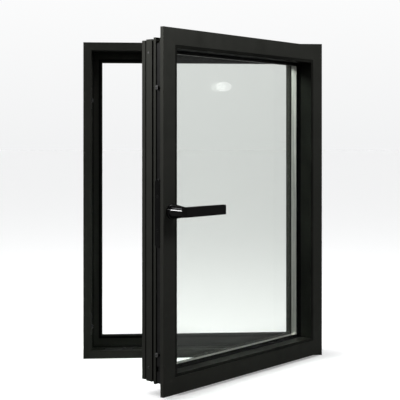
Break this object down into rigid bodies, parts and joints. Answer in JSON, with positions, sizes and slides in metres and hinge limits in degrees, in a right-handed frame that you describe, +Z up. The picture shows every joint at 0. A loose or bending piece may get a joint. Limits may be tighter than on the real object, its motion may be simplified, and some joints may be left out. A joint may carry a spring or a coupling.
{
  "type": "casement window",
  "caption": "Inward-opening side-hung aluminium window in black: mitred frame, double-glazed sash on hidden hinges, lever handle and multi-point lock.",
  "frame": {"origin": "centre of the frame's flat underside, half-way through its depth", "axes": "+Z up, +Y from the room to the outdoors, +X from the lock jamb to the hinge jamb"},
  "size_m": [0.572, 0.5049, 0.75],
  "materials": {
    "black_powder_coat": "matt near-black powder coat on extruded aluminium",
    "black_handle": "glossy black lacquer",
    "black_plastic": "glass-filled polyamide",
    "black_rubber": "extruded EPDM",
    "sealant": "black butyl and polysulfide edge seal",
    "clear_glass": "float glass",
    "bare_aluminium": "bright rolled",
    "mill_aluminium": "mill finish",
    "plated_steel": "dark passivated zinc plate",
    "dark_zinc": "black coated die casting and steel"
  },
  "bodies": {
    "frame": {"frame_sill_inner": "black_powder_coat", "frame_head_inner": "black_powder_coat", "frame_jamb_lock_inner": "black_powder_coat", "frame_jamb_hinge_inner": "black_powder_coat", "frame_sill_outer": "black_powder_coat", "frame_head_outer": "black_powder_coat", "frame_jamb_lock_outer": "black_powder_coat", "frame_jamb_hinge_outer": "black_powder_coat", "frame_thermal_strips": "black_plastic", "frame_corner_cleats": "mill_aluminium", "centre_seal_carriers": "mill_aluminium", "centre_seals": "black_rubber", "stop_seals": "black_rubber", "drain_caps": "black_plastic", "keep_bases": "dark_zinc", "strikers": "plated_steel", "keep_screws": "dark_zinc", "hinge_arms": "plated_steel", "hinge_pins": "plated_steel", "hinge_arm_screws": "plated_steel"},
    "sash": {"bead_bottom": "black_powder_coat", "bead_hinge": "black_powder_coat", "bead_lock": "black_powder_coat", "bead_top": "black_powder_coat", "corner_drive": "dark_zinc", "corner_pins": "plated_steel", "edge_sealant": "sealant", "faceplate_screws": "dark_zinc", "gearbox_faceplate": "dark_zinc", "gearbox_housing": "dark_zinc", "handle_base": "black_handle", "handle_base_screws": "plated_steel", "hinge_clamp_plates": "mill_aluminium", "hinge_leaf_screws": "plated_steel", "hinge_leaves": "plated_steel", "inner_glazing_gaskets": "black_rubber", "inner_pane": "clear_glass", "outer_glazing_gaskets": "black_rubber", "outer_pane": "clear_glass", "overlap_seals": "black_rubber", "sash_bottom_rail_inner": "black_powder_coat", "sash_bottom_rail_outer": "black_powder_coat", "sash_corner_cleats": "mill_aluminium", "sash_hinge_stile_inner": "black_powder_coat", "sash_hinge_stile_outer": "black_powder_coat", "sash_lock_stile_inner": "black_powder_coat", "sash_lock_stile_outer": "black_powder_coat", "sash_thermal_strips": "black_plastic", "sash_top_rail_inner": "black_powder_coat", "sash_top_rail_outer": "black_powder_coat", "setting_blocks": "black_plastic", "spacer_bars": "bare_aluminium", "spacer_corner_keys": "black_plastic"},
    "handle": {"handle_lever": "black_handle", "handle_spindle": "plated_steel", "drive_pinion": "plated_steel"},
    "side_bolt": {"drive_rod": "dark_zinc", "locking_cams": "plated_steel"},
    "bottom_bolt": {"bottom_rod": "dark_zinc", "bottom_cam": "plated_steel"}
  },
  "joints": [
    {"name": "sash_turn", "type": "hinge", "parent": "frame", "child": "sash", "pos_m": [0.273, -0.047, 0.375], "axis": [0, 0, 1], "range_deg": [-45, 45]},
    {"name": "handle_turn", "type": "hinge", "parent": "sash", "child": "handle", "pos_m": [-0.09576, -0.42566, 0.375], "axis": [-0.7071, 0.7071, 0], "range_deg": [0, 90]},
    {"name": "side_bolt_slide", "type": "slide", "parent": "sash", "child": "side_bolt", "axis": [0, 0, 1], "range_m": [-0.0099, 0]},
    {"name": "bottom_bolt_slide", "type": "slide", "parent": "sash", "child": "bottom_bolt", "axis": [0.7071, 0.7071, 0], "range_m": [0, 0.0099]}
  ],
  "couplings": [
    {"joint": "side_bolt_slide", "follows": "handle_turn", "m_per_rad": -0.0063},
    {"joint": "bottom_bolt_slide", "follows": "handle_turn", "m_per_rad": 0.0063}
  ]
}
